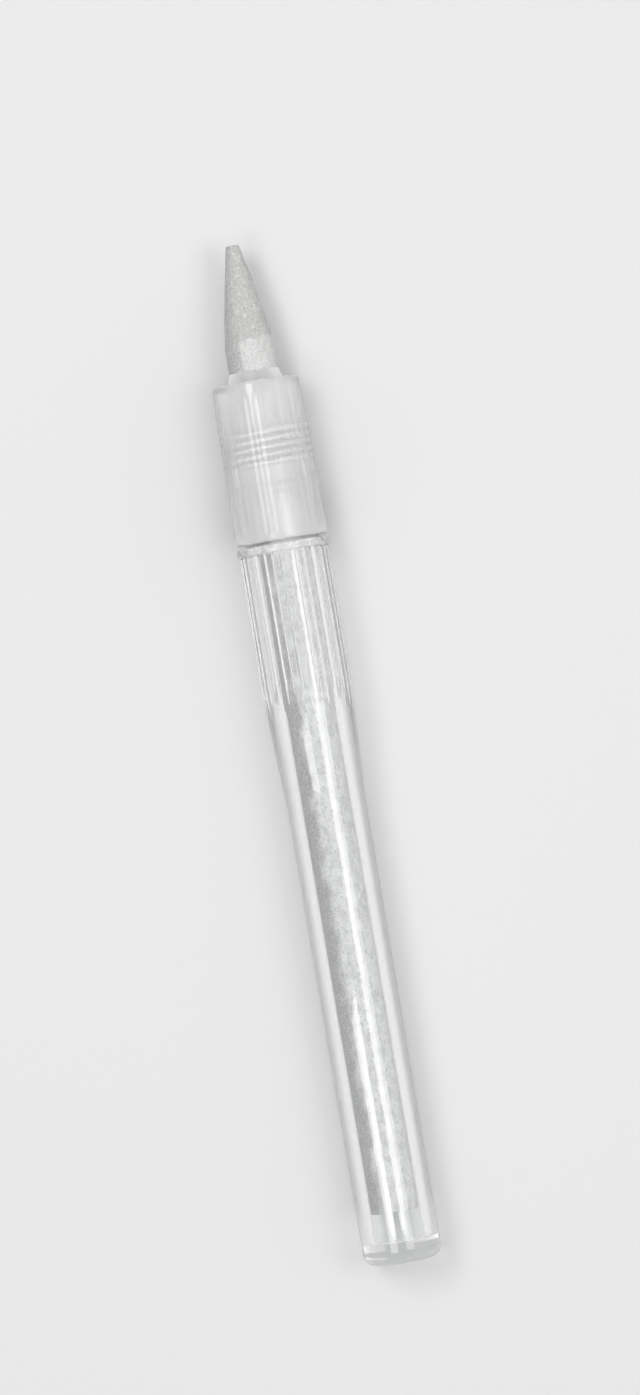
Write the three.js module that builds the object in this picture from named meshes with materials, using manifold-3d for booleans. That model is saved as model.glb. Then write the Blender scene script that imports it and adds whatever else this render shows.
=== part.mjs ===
// A tailor's marking pencil: a clear holder whose clamp nut grips a round stick of soapstone.
// All sizes are in millimetres. The pieces are drawn along +Y, from the tail face at 0 to the
// tip, and the group at the end lays the pencil down along +X on the plane z = 0.
import * as THREE from "three";
import { mergeVertices } from "three/addons/utils/BufferGeometryUtils.js";
import Module from "manifold-3d";

const wasm = await Module();
wasm.setup();

// Soapstone stick
const STICK_DIAMETER = 6.35;
const STICK_LENGTH = 127;
const POINT_LENGTH = 12.7;
const TIP_DIAMETER = 1.72;

// Barrel
const BORE_CLEARANCE = 0.5;
const TUBE_WALL = 1.7;
const TAIL_WALL = 2.8;
const TAIL_CORNER = 2.2;
const TAIL_CORNER_STEPS = 5;
const STICK_REAR_GAP = 3.9;
const TUBE_LENGTH = 61.2;
const TAPER_LENGTH = 13.15;
const GRIP_LENGTH = 19.15;
const SHOULDER_RISE = 0.05;
const FLANGE_THICKNESS = 1.0;
const FLANGE_RISE = 0.3;
const FLANGE_EDGE = 0.25;
const FLANGE_OVER_NUT = 0.03;

// Grooves that leave the fine ribs of the grip and of the nut standing
const RIB_COUNT = 36;
const GROOVE_WIDTH = 0.42;
const GROOVE_DEPTH = 0.18;
const GRIP_GROOVE_RAMP = 1.2;
const NUT_GROOVE_RAMP = 0.2;
const GROOVE_OVERSHOOT = 0.6;

// Spigot at the front of the barrel, and the socket in it that holds the collet
const SPIGOT_LENGTH = 6.7;
const SPIGOT_WALL = 0.77;
const SOCKET_DEPTH = 6.0;
const PRESS_GAP = 0.03;
const SEAT_GAP = 0.05;

// Collet
const COLLET_BORE_CLEARANCE = 0.25;
const COLLET_TAIL_WALL = 0.8;
const COLLAR_THICKNESS = 0.8;
const COLLAR_INSET = 0.1;
const STEM_WALL = 0.6;
const PLAIN_STEM_LENGTH = 2.6;
const STEM_END_LENGTH = 0.15;

// Jaws, which are the collet's split front end
const JAW_COUNT = 4;
const SLIT_WIDTH = 0.25;
const FIRST_SLIT_ANGLE = THREE.MathUtils.degToRad(8.6);
const JAW_ROOT_GAP = 0.06;
const JAW_REACH = 1.4;
const JAW_FRONT_WALL = 0.16;
const FINGER_WALL = 0.35;
const HEAD_WALL = 0.63;
const HEAD_LENGTH = 3.6;
const GRIP_LAND_LENGTH = 3.0;
const GRIP_CLEARANCE = 0.09;
const CLAMP_HALF_ANGLE = THREE.MathUtils.degToRad(17);

// Screw thread between the collet and the nut
const PITCH = 1.0;
const TURNS = 5;
const RIDGE_HEIGHT = 0.5;
const RIDGE_BASE_WIDTH = 0.6;
const RIDGE_CREST_WIDTH = 0.2;
const RIDGE_ROOTING = 0.25;
const RIDGE_END_SHARE = 0.3;
const RIDGE_FADE_TURNS = 0.5;
const THREAD_CLEARANCE = 0.15;

// Clamp nut
const NUT_GAP = 0.45;
const NUT_LENGTH = 20.85;
const NUT_WALL = 1.07;
const NUT_DRAFT = 0.32;
const NUT_EDGE = 0.3;
const NUT_REAR_BAND = 0.8;
const NUT_SLIDE_CLEARANCE = 0.1;
const COLLAR_CLEARANCE = 0.35;
const CHAMBER_CLEARANCE = 0.45;
const CHAMBER_START = 0.4;
const MOUTH_CLEARANCE = 0.05;
const LIP_LENGTH = 1.3;
const LIP_SPLIT_GAP = 0.05;

// Flats round every turned surface, and steps in one turn of the thread
const ROUND_STEPS = 36;
const FULL_TURN = Math.PI * 2;

// Radii that follow from the stick outwards
const stickRadius = STICK_DIAMETER / 2;
const boreRadius = stickRadius + BORE_CLEARANCE / 2;
const tubeRadius = boreRadius + TUBE_WALL;
const colletBoreRadius = stickRadius + COLLET_BORE_CLEARANCE / 2;
const colletTailRadius = colletBoreRadius + COLLET_TAIL_WALL;
const socketRadius = colletTailRadius + PRESS_GAP;
const spigotRadius = socketRadius + SPIGOT_WALL;
const collarRadius = spigotRadius - COLLAR_INSET;
const stemRadius = colletBoreRadius + STEM_WALL;
const threadCrestRadius = stemRadius + RIDGE_HEIGHT;
const nutBoreRadius = spigotRadius + NUT_SLIDE_CLEARANCE;
const nutThreadRadius = threadCrestRadius + THREAD_CLEARANCE;
const nutRearRadius = nutBoreRadius + NUT_WALL;
const nutFrontRadius = nutRearRadius - NUT_DRAFT;
const flangeRadius = nutRearRadius + FLANGE_OVER_NUT;
const gripRadius = flangeRadius - FLANGE_RISE;
const shoulderRadius = gripRadius + SHOULDER_RISE;
const landRadius = stickRadius + GRIP_CLEARANCE / 2;
const fingerRadius = colletBoreRadius + FINGER_WALL;
const headRadius = landRadius + HEAD_WALL;
const jawFrontRadius = landRadius + JAW_FRONT_WALL;
const clampSlope = Math.tan(CLAMP_HALF_ANGLE);
const jawConeLength = (headRadius - jawFrontRadius) / clampSlope;
const mouthRadius = jawFrontRadius + JAW_REACH * clampSlope + MOUTH_CLEARANCE;
const chamberRadius = headRadius + CHAMBER_CLEARANCE;
const clampConeLength = (chamberRadius - mouthRadius) / clampSlope;

// Places along the pencil that follow from the tail forwards
const stickStart = TAIL_WALL + STICK_REAR_GAP;
const tipEnd = stickStart + STICK_LENGTH;
const taperEnd = TUBE_LENGTH + TAPER_LENGTH;
const flangeStart = taperEnd + GRIP_LENGTH;
const flangeEnd = flangeStart + FLANGE_THICKNESS;
const spigotEnd = flangeEnd + SPIGOT_LENGTH;
const socketFloor = spigotEnd - SOCKET_DEPTH;
const colletStart = socketFloor + SEAT_GAP;
const collarStart = spigotEnd + SEAT_GAP;
const collarEnd = collarStart + COLLAR_THICKNESS;
const threadStart = collarEnd + PLAIN_STEM_LENGTH;
const threadEnd = threadStart + TURNS * PITCH;
const stemEnd = threadEnd + STEM_END_LENGTH;
const nutStart = flangeEnd + NUT_GAP;
const nutEnd = nutStart + NUT_LENGTH;
const lipStart = nutEnd - LIP_LENGTH;
const jawStart = stemEnd + JAW_ROOT_GAP;
const jawEnd = nutEnd + JAW_REACH;

// Turns a closed three.js geometry into a solid that can be joined and cut.
function toSolid(geometry) {
  const bare = geometry.clone();
  bare.deleteAttribute("normal");
  bare.deleteAttribute("uv");
  const merged = mergeVertices(bare, 1e-4);
  const mesh = new wasm.Mesh({
    numProp: 3,
    vertProperties: new Float32Array(merged.attributes.position.array),
    triVerts: new Uint32Array(merged.index.array),
  });
  return new wasm.Manifold(mesh);
}

function toGeometry(solid) {
  const mesh = solid.getMesh();
  const geometry = new THREE.BufferGeometry();
  geometry.setAttribute("position", new THREE.BufferAttribute(mesh.vertProperties, 3));
  geometry.setIndex(new THREE.BufferAttribute(mesh.triVerts, 1));
  geometry.computeVertexNormals();
  return geometry;
}

// Turns a closed outline of [radius, height] corners about the Y axis.
function turned(corners) {
  const outline = corners.map(([radius, height]) => new THREE.Vector2(radius, height));
  return toSolid(new THREE.LatheGeometry(outline, ROUND_STEPS));
}

// A ring's outline comes back to its first corner.
function turnedRing(corners) {
  return turned([...corners, corners[0]]);
}

// Straight grooves cut round a body, each with a floor that ramps out over the given lengths.
function withGrooves(body, start, end, radiusAt, rampIn, rampOut) {
  const corner = (rise, height) => new THREE.Vector2(radiusAt(height) + rise, height);
  const side = [
    corner(GROOVE_OVERSHOOT, start),
    ...(rampIn > 0 ? [corner(0, start)] : []),
    corner(-GROOVE_DEPTH, start + rampIn),
    corner(-GROOVE_DEPTH, end - rampOut),
    ...(rampOut > 0 ? [corner(0, end)] : []),
    corner(GROOVE_OVERSHOOT, end),
  ];
  const blade = new THREE.ExtrudeGeometry(new THREE.Shape(side), {
    depth: GROOVE_WIDTH,
    bevelEnabled: false,
  });
  blade.translate(0, 0, -GROOVE_WIDTH / 2);
  let cut = body;
  for (let i = 0; i < RIB_COUNT; i++) {
    const turnedBlade = blade.clone().rotateY(((i + 0.5) * FULL_TURN) / RIB_COUNT);
    cut = cut.subtract(toSolid(turnedBlade));
  }
  return cut;
}

// One right-handed ridge of trapezium section, wound round the Y axis from threadStart.
// rootRadius is the wall that it stands on, and side is +1 outwards or -1 inwards.
function threadRidge(rootRadius, side, startAngle) {
  const flank = (RIDGE_BASE_WIDTH - RIDGE_CREST_WIDTH) / 2 / RIDGE_HEIGHT;
  const halfWidthAt = (above) => RIDGE_BASE_WIDTH / 2 - flank * above;
  const turns = TURNS - RIDGE_BASE_WIDTH / PITCH;
  const steps = Math.floor(turns * ROUND_STEPS);
  const positions = [];
  const index = [];
  for (let i = 0; i <= steps; i++) {
    const height = threadStart + RIDGE_BASE_WIDTH / 2 + (i / ROUND_STEPS) * PITCH;
    const angle = startAngle + (i / ROUND_STEPS) * FULL_TURN;
    const turnsFromEnd = Math.min(i, steps - i) / ROUND_STEPS;
    const crest = RIDGE_HEIGHT * Math.min(1, RIDGE_END_SHARE + turnsFromEnd / RIDGE_FADE_TURNS);
    const section = [
      [-RIDGE_ROOTING, -halfWidthAt(-RIDGE_ROOTING)],
      [crest, -halfWidthAt(crest)],
      [crest, halfWidthAt(crest)],
      [-RIDGE_ROOTING, halfWidthAt(-RIDGE_ROOTING)],
    ];
    for (const [above, along] of section) {
      const radius = rootRadius + side * above;
      positions.push(radius * Math.sin(angle), height + along, radius * Math.cos(angle));
    }
  }
  const corners = 4;
  const triangle = (a, b, c) => (side > 0 ? index.push(a, b, c) : index.push(a, c, b));
  for (let i = 0; i < steps; i++) {
    for (let k = 0; k < corners; k++) {
      const a = i * corners + k;
      const b = i * corners + ((k + 1) % corners);
      triangle(a, a + corners, b);
      triangle(b, a + corners, b + corners);
    }
  }
  const last = steps * corners;
  triangle(0, 1, 2);
  triangle(0, 2, 3);
  triangle(last, last + 2, last + 1);
  triangle(last, last + 3, last + 2);
  const geometry = new THREE.BufferGeometry();
  geometry.setAttribute("position", new THREE.BufferAttribute(new Float32Array(positions), 3));
  geometry.setIndex(index);
  return toSolid(geometry);
}

// Clear barrel: closed tail, plain tube, taper, ribbed grip, flange and the spigot in the nut.
function makeBarrel() {
  const outline = [[0, 0]];
  for (let i = 0; i <= TAIL_CORNER_STEPS; i++) {
    const angle = (i / TAIL_CORNER_STEPS) * (Math.PI / 2);
    outline.push([
      tubeRadius - TAIL_CORNER * (1 - Math.sin(angle)),
      TAIL_CORNER * (1 - Math.cos(angle)),
    ]);
  }
  outline.push(
    [tubeRadius, TUBE_LENGTH],
    [shoulderRadius, taperEnd],
    [gripRadius, flangeStart],
    [flangeRadius - FLANGE_EDGE, flangeStart],
    [flangeRadius, flangeStart + FLANGE_EDGE],
    [flangeRadius, flangeEnd - FLANGE_EDGE],
    [flangeRadius - FLANGE_EDGE, flangeEnd],
    [spigotRadius, flangeEnd],
    [spigotRadius, spigotEnd],
    [socketRadius, spigotEnd],
    [socketRadius, socketFloor],
    [boreRadius, socketFloor],
    [boreRadius, TAIL_WALL],
    [0, TAIL_WALL],
  );
  const radiusAt = (height) =>
    THREE.MathUtils.mapLinear(height, taperEnd, flangeStart, shoulderRadius, gripRadius);
  return withGrooves(turned(outline), taperEnd, flangeStart, radiusAt, GRIP_GROOVE_RAMP, 0);
}

// Rear part of the collet: the tail pressed into the barrel, the collar and the threaded stem.
function makeColletBody() {
  const body = turnedRing([
    [colletBoreRadius, colletStart],
    [colletTailRadius, colletStart],
    [colletTailRadius, collarStart],
    [collarRadius, collarStart],
    [collarRadius, collarEnd],
    [stemRadius, collarEnd],
    [stemRadius, stemEnd],
    [colletBoreRadius, stemEnd],
  ]);
  return body.add(threadRidge(stemRadius, 1, 0));
}

// The ring that the slits divide into jaws: thin fingers, then heads with the clamping cone.
function makeJawRing() {
  const headStart = jawEnd - HEAD_LENGTH;
  const landStart = jawEnd - GRIP_LAND_LENGTH;
  return turnedRing([
    [colletBoreRadius, jawStart],
    [fingerRadius, jawStart],
    [fingerRadius, headStart - (headRadius - fingerRadius)],
    [headRadius, headStart],
    [headRadius, jawEnd - jawConeLength],
    [jawFrontRadius, jawEnd],
    [landRadius, jawEnd],
    [landRadius, landStart],
    [colletBoreRadius, landStart - (colletBoreRadius - landRadius)],
  ]);
}

function makeJaws() {
  const reach = headRadius * 2;
  const length = jawEnd - jawStart;
  const middle = (jawStart + jawEnd) / 2;
  const slitAngle = (i) => FIRST_SLIT_ANGLE + (i * FULL_TURN) / JAW_COUNT;
  let split = makeJawRing();
  for (let i = 0; i < JAW_COUNT; i++) {
    const slit = new THREE.BoxGeometry(SLIT_WIDTH, length * 2, reach);
    slit.translate(0, middle, reach / 2).rotateY(slitAngle(i));
    split = split.subtract(toSolid(slit));
  }
  const jaws = split.decompose();
  const bearing = (jaw) => {
    const box = jaw.boundingBox();
    const across = (box.min[0] + box.max[0]) / 2;
    const up = (box.min[2] + box.max[2]) / 2;
    return (Math.atan2(across, up) - FIRST_SLIT_ANGLE + FULL_TURN) % FULL_TURN;
  };
  return jaws.sort((a, b) => bearing(a) - bearing(b));
}

function nutRadiusAt(height) {
  return THREE.MathUtils.mapLinear(height, nutStart, nutEnd, nutRearRadius, nutFrontRadius);
}

// Corners inside the nut's front end, where the chamber round the jaws narrows to the mouth.
function chamberCorners(front, rear) {
  const radiusAt = (height) => Math.min(chamberRadius, mouthRadius + (nutEnd - height) * clampSlope);
  const coneStart = nutEnd - clampConeLength;
  const between = coneStart < front && coneStart > rear ? [[chamberRadius, coneStart]] : [];
  return [[radiusAt(front), front], ...between, [radiusAt(rear), rear]];
}

// Ribbed nut with its internal thread, up to the split behind its plain front band.
function makeClampNut() {
  const stepStart = collarEnd + COLLAR_CLEARANCE;
  const chamberStart = threadEnd + CHAMBER_START;
  const end = lipStart - LIP_SPLIT_GAP;
  const plain = turnedRing([
    [nutRearRadius - NUT_EDGE, nutStart],
    [nutRadiusAt(nutStart + NUT_EDGE), nutStart + NUT_EDGE],
    [nutRadiusAt(end), end],
    ...chamberCorners(end, chamberStart),
    [nutThreadRadius, chamberStart],
    [nutThreadRadius, stepStart],
    [nutBoreRadius, stepStart],
    [nutBoreRadius, nutStart],
  ]);
  const ribStart = nutStart + NUT_REAR_BAND;
  const ribbed = withGrooves(plain, ribStart, end, nutRadiusAt, NUT_GROOVE_RAMP, NUT_GROOVE_RAMP);
  return ribbed.add(threadRidge(nutThreadRadius, -1, Math.PI));
}

// Plain round front band of the nut, with the mouth that closes the jaws.
function makeNutLip() {
  return turnedRing([
    [nutRadiusAt(lipStart), lipStart],
    [nutRadiusAt(nutEnd - NUT_EDGE), nutEnd - NUT_EDGE],
    [nutFrontRadius - NUT_EDGE, nutEnd],
    ...chamberCorners(nutEnd, lipStart),
  ]);
}

// Round stick, cut square behind and sharpened to a blunt point.
function makeStick() {
  return turned([
    [0, stickStart],
    [stickRadius, stickStart],
    [stickRadius, tipEnd - POINT_LENGTH],
    [TIP_DIAMETER / 2, tipEnd],
    [0, tipEnd],
  ]);
}

const clearPlastic = new THREE.MeshStandardMaterial({
  color: 0xdfe3e4,
  roughness: 0.08,
  metalness: 0,
  transparent: true,
  opacity: 0.35,
});
const frostedPlastic = new THREE.MeshStandardMaterial({
  color: 0xd9dbda,
  roughness: 0.4,
  metalness: 0,
  transparent: true,
  opacity: 0.8,
});
const soapstone = new THREE.MeshStandardMaterial({ color: 0xa9a9a6, roughness: 0.85, metalness: 0 });

const pencil = new THREE.Group();

function addPiece(name, solid, material) {
  const mesh = new THREE.Mesh(toGeometry(solid), material.clone());
  mesh.name = name;
  pencil.add(mesh);
}

addPiece("barrel", makeBarrel(), clearPlastic);
addPiece("collet_body", makeColletBody(), frostedPlastic);
makeJaws().forEach((jaw, i) => addPiece(`jaw_${i + 1}`, jaw, frostedPlastic));
addPiece("clamp_nut", makeClampNut(), frostedPlastic);
addPiece("nut_lip", makeNutLip(), frostedPlastic);
addPiece("soapstone_stick", makeStick(), soapstone);

// Lay the pencil down: +Y of the drawings becomes +X, and the flange rests on z = 0.
pencil.rotation.z = -Math.PI / 2;
pencil.position.set(-tipEnd / 2, 0, flangeRadius);

const model = new THREE.Group();
model.add(pencil);

export default model;
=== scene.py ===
"""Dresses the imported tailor's marking pencil: a clear holder, its frosted clamp nut and the stone.

Every piece is a surface of revolution with relief, worked out as whole arrays. Throughout,
"along" is the distance from the tail face and "radius" the distance from the axis, both in
millimetres, and "angle" is the angle from straight up, in radians. place() turns them to metres.
"""
import logging  # noqa: E402
import math  # noqa: E402
from collections.abc import Sequence  # noqa: E402
from dataclasses import dataclass  # noqa: E402
from enum import Enum  # noqa: E402

import bpy  # noqa: E402
import numpy as np  # noqa: E402
from mathutils import Matrix, Vector  # noqa: E402


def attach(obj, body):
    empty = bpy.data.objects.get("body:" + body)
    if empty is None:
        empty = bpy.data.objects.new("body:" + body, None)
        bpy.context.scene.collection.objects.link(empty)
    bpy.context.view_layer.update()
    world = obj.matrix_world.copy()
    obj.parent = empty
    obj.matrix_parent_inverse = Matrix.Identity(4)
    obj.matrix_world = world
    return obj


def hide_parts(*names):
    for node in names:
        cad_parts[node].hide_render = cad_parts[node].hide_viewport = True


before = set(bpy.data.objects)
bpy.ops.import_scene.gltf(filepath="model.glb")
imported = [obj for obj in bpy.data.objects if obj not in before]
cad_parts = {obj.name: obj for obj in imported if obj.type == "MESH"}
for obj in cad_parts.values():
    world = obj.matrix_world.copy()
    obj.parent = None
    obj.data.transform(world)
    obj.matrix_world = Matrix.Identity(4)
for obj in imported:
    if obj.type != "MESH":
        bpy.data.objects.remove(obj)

log = logging.getLogger("pencil")

MM = 0.001
LENGTH = 133.7
AXIS_HEIGHT = 6.1
RIB_PITCH_DEG = 10.0
THREAD_PITCH = 1.0
THREAD_START = 104.65
THREAD_END = 109.65
# Points this near a radius belong to its surface.
NEAR = 0.02
# Half the width of the soft edge of a band in a material.
BAND_EDGE = 0.15
# The share of a side that a fillet may take, and the place of the row that stands behind it.
MOST_OF_A_SIDE = 0.42
HOLD_ROW = 1.15

# A colour, a range from low to high, and a bump's strength with its depth in millimetres.
Shade = tuple[float, float, float]
Span = tuple[float, float]
BumpSize = tuple[float, float]
Piece = bpy.types.Object


def place(along: np.ndarray, radius: np.ndarray, angle: np.ndarray) -> np.ndarray:
    """Turns places on the pencil into points of the frame, in metres, one row each.

    Formula: x runs along the pencil from its middle, and a radius at an angle from straight up,
    turning to the camera's right, gives y = -radius sin(angle) and z = axis + radius cos(angle).
    """
    x = np.broadcast_to(along - LENGTH / 2, radius.shape)
    points = np.stack([x, -radius * np.sin(angle), AXIS_HEIGHT + radius * np.cos(angle)], axis=-1)
    return points.reshape(-1, 3) * MM


def smooth_step(value: np.ndarray) -> np.ndarray:
    """Eases from 0 to 1 as the value goes from 0 to 1, with level ends: 3 t^2 - 2 t^3."""
    t = np.clip(value, 0.0, 1.0)
    return t * t * (3.0 - 2.0 * t)


@dataclass(frozen=True)
class Corner:
    """A corner of an outline: its place, its fillet, the rows before it and its arc's steps."""

    along: float
    radius: float
    fillet: float = 0.0
    rows: int = 0
    steps: int = 5


def rounded_outline(corners: Sequence[Corner], closed: bool) -> np.ndarray:
    """Walks round an outline and rounds its corners with arcs.

    Formula: an arc of the fillet's radius touches both sides at fillet / tan(half the corner's
    angle) from the corner. One more row stands behind each end of the arc, so that the flat
    sides shade flat. The last corner of a closed outline joins the first.

    Returns:
        Rows of (along, radius).
    """
    count = len(corners)
    spots = np.array([(c.along, c.radius) for c in corners])
    rows: list[np.ndarray] = []
    for i, corner in enumerate(corners):
        here = spots[i]
        if corner.fillet == 0.0 or (not closed and i in (0, count - 1)):
            arc = here[None]
        else:
            back, ahead = spots[i - 1] - here, spots[(i + 1) % count] - here
            back_length, ahead_length = np.linalg.norm(back), np.linalg.norm(ahead)
            back, ahead = back / back_length, ahead / ahead_length
            half = math.acos(float(np.clip(back @ ahead, -1, 1))) / 2
            shorter = min(back_length, ahead_length)
            reach = min(corner.fillet / math.tan(half), MOST_OF_A_SIDE * shorter)
            fillet = reach * math.tan(half)
            middle = (back + ahead) / np.linalg.norm(back + ahead)
            centre = here + middle * fillet / math.sin(half)
            first, last = here + back * reach - centre, here + ahead * reach - centre
            start = math.atan2(first[1], first[0])
            sweep = (math.atan2(last[1], last[0]) - start + math.pi) % (2 * math.pi) - math.pi
            turn = start + sweep * np.linspace(0, 1, corner.steps + 1)
            arc = centre + fillet * np.stack([np.cos(turn), np.sin(turn)], axis=-1)
            hold = reach * HOLD_ROW
            arc = np.vstack([here + back * hold, arc, here + ahead * hold])
        if corner.rows:
            share = np.linspace(0, 1, corner.rows + 2)[1:-1, None]
            rows.append(rows[-1][-1] * (1 - share) + arc[0] * share)
        rows.append(arc)
    return np.vstack(rows)


def even_columns(count: int) -> np.ndarray:
    """Angles of evenly spread columns round the pencil, in radians."""
    return np.arange(count) * 2 * math.pi / count


def rib_columns(offsets: Sequence[float]) -> np.ndarray:
    """Angles of columns that gather at every groove; offsets are degrees from its middle."""
    grooves = np.arange(RIB_PITCH_DEG / 2, 360, RIB_PITCH_DEG)
    return np.radians((grooves[:, None] + np.array(offsets)).ravel())


def signed_volume(points: np.ndarray, quads: np.ndarray) -> float:
    """Volume that the quads close in, below 0 if they face inwards."""
    a, b, c, d = (points[quads[:, k]] for k in range(4))
    return float(np.sum(a * np.cross(b, c)) + np.sum(a * np.cross(c, d))) / 6


def make_object(name: str, points: np.ndarray, faces: list[list[int]]) -> Piece:
    """Makes a smooth-shaded object at the origin: points in metres, faces as lists of indices."""
    mesh = bpy.data.meshes.new(name)
    mesh.from_pydata(points, [], faces)
    mesh.validate()
    mesh.shade_smooth()
    mesh.update()
    piece = bpy.data.objects.new(name, mesh)
    bpy.context.scene.collection.objects.link(piece)
    return piece


def turned(
    name: str, along: np.ndarray, radius: np.ndarray, angle: np.ndarray, closed: bool
) -> Piece:
    """Makes a piece that goes once round the axis.

    Formula: row i, column j stands at along[i, j], radius[i, j] and angle[j]. Columns close on
    themselves. Rows close too where the outline is closed, and otherwise the first and the last
    row are poles, one point each on the axis.
    """
    rows, columns = radius.shape
    points = place(along, radius, angle[None])
    index = np.arange(rows * columns).reshape(rows, columns)
    if not closed:
        index[0], index[-1] = index[0, 0], index[-1, 0]
    below = index if closed else index[:-1]
    above = np.roll(index, -1, 0) if closed else index[1:]
    quads = np.stack(
        [below, np.roll(below, -1, 1), np.roll(above, -1, 1), above], axis=-1
    ).reshape(-1, 4)
    if signed_volume(points, quads) < 0:
        quads = quads[:, ::-1]
    used, quads = np.unique(quads, return_inverse=True)
    quads = quads.reshape(-1, 4)
    faces = [list(dict.fromkeys(quad)) for quad in quads.tolist()]
    return make_object(name, points[used], faces)


@dataclass(frozen=True)
class Grooves:
    """Straight grooves round a band, which leave fine ribs standing."""

    start: float
    end: float
    depth: float
    width: float
    ramp_in: float
    ramp_out: float
    stagger: float = 0.0

    def depth_at(self, along: np.ndarray, angle: np.ndarray, radius: float) -> np.ndarray:
        """How deep the grooves are at a place on a band of this radius, in millimetres.

        Formula: across a groove the depth is a raised cosine of its width; along it the depth
        eases in and out over the ramps, and the start of each groove is shifted by a slow wave
        round the pencil.
        """
        pitch = math.radians(RIB_PITCH_DEG)
        off = np.abs((angle % pitch) - pitch / 2) * radius
        across = np.where(off < self.width / 2, 0.5 + 0.5 * np.cos(2 * math.pi * off / self.width), 0)
        shift = self.stagger * np.sin(3 * angle + 0.7) * np.cos(5 * angle)
        rise = smooth_step((along - self.start - shift) / self.ramp_in)
        fall = smooth_step((self.end - along) / self.ramp_out)
        return self.depth * across * rise * fall


class Cut(Enum):
    """Which of the two mating threads a surface carries."""

    ON_STEM = "on_stem"
    IN_NUT = "in_nut"


@dataclass(frozen=True)
class Thread:
    """The right-handed screw thread between the collet and the nut."""

    height: float = 0.5
    steep: float = 0.24
    fade: float = 0.45

    def height_at(self, along: np.ndarray, angle: np.ndarray, cut: Cut) -> np.ndarray:
        """How far the ridge stands out at a place, in millimetres.

        Formula: the ridge moves one pitch for a turn. Along the pencil it rises over its steep
        side and falls over the rest of the pitch, both with eased ends, and the nut's ridge is
        the full height less the stem's, so the two mate everywhere. Both ease down at the ends
        of the thread.
        """
        phase = ((along - THREAD_START) / THREAD_PITCH - angle / (2 * math.pi)) % 1.0
        share = smooth_step(phase / self.steep) * smooth_step((1.0 - phase) / (1.0 - self.steep))
        share = share if cut is Cut.ON_STEM else 1.0 - share
        ends = smooth_step((along - THREAD_START) / self.fade)
        ends = ends * smooth_step((THREAD_END - along) / self.fade)
        return self.height * share * ends


@dataclass(frozen=True)
class Lattice:
    """A layer of relief: its step along the pencil, its steps in one turn, and its height.

    Where it has a start, only what rises above that value counts.
    """

    length: float
    count: int
    height: float
    start: float | None = None


class Grain:
    """Seeded noise on the pencil's surface, which closes on itself round the axis."""

    def __init__(self, seed: int) -> None:
        """Starts the row of random draws."""
        self.draws = np.random.default_rng(seed)

    def layer(self, along: np.ndarray, angle: np.ndarray, lattice: Lattice) -> np.ndarray:
        """One layer of noise between -1 and 1, at a column of places along and a row of angles.

        Formula: random values on the lattice, blended between neighbours with smooth steps.
        """
        length, count = lattice.length, lattice.count
        values = self.draws.uniform(-1, 1, (int(LENGTH / length) + 3, count))
        row, column = np.broadcast_arrays(along / length, angle / (2 * math.pi) * count)
        i, j = np.floor(row).astype(int), np.floor(column).astype(int)
        s, t = smooth_step(row - i), smooth_step(column - j)
        a, b = values[i, j % count], values[i, (j + 1) % count]
        c, d = values[i + 1, j % count], values[i + 1, (j + 1) % count]
        return (a * (1 - t) + b * t) * (1 - s) + (c * (1 - t) + d * t) * s

    def relief(self, along: np.ndarray, angle: np.ndarray, lattice: Lattice) -> np.ndarray:
        """A layer of noise at its height, from its start up."""
        noise = self.layer(along, angle, lattice)
        if lattice.start is not None:
            noise = np.maximum(noise - lattice.start, 0)
        return lattice.height * noise


class Signal:
    """A socket of a material, on which Python's operators add Math nodes."""

    def __init__(self, recipe: "Recipe", socket: bpy.types.NodeSocket) -> None:
        """Wraps one output socket."""
        self.recipe = recipe
        self.socket = socket

    def output(self, name: str | int) -> "Signal":
        """Another output of the same node."""
        return Signal(self.recipe, self.socket.node.outputs[name])

    def math(self, operation: str, *others: "Signal | float") -> "Signal":
        """A Math node of this operation, with this socket as its first value."""
        values = dict(enumerate((self, *others)))
        return self.recipe.add("Math", values, operation=operation)

    def __add__(self, other: "Signal | float") -> "Signal":
        """This value plus another."""
        return self.math("ADD", other)

    __radd__ = __add__

    def __mul__(self, other: "Signal | float") -> "Signal":
        """This value times another."""
        return self.math("MULTIPLY", other)

    __rmul__ = __mul__

    def __sub__(self, other: "Signal | float") -> "Signal":
        """This value less another."""
        return self.math("SUBTRACT", other)

    def __rsub__(self, other: float) -> "Signal":
        """A number less this value."""
        return self.recipe.add("Math", {0: other, 1: self}, operation="SUBTRACT")

    def __pow__(self, other: float) -> "Signal":
        """This value to a power."""
        return self.math("POWER", other)

    def eased(self, low: float, high: float) -> "Signal":
        """0 below low, 1 above high, and a smooth step between them."""
        sockets = {"Value": self, "From Min": low, "From Max": high}
        return self.recipe.add("MapRange", sockets, interpolation_type="SMOOTHSTEP")


@dataclass(frozen=True)
class Speckle:
    """Noise in a material.

    Its blotches are about this many millimetres across, and are drawn out along the pencil
    where its squeeze is below 1.
    """

    size: float
    squeeze: float = 1.0
    detail: float = 2.0
    rough: float = 0.5


@dataclass(frozen=True)
class Cover:
    """How much of something noise brings: the most, and the noise's values where it sets in."""

    most: float
    low: float
    high: float

    def where(self, noise: Signal) -> Signal:
        """The share at every place of this noise."""
        return self.most * noise.eased(self.low, self.high)


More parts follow.
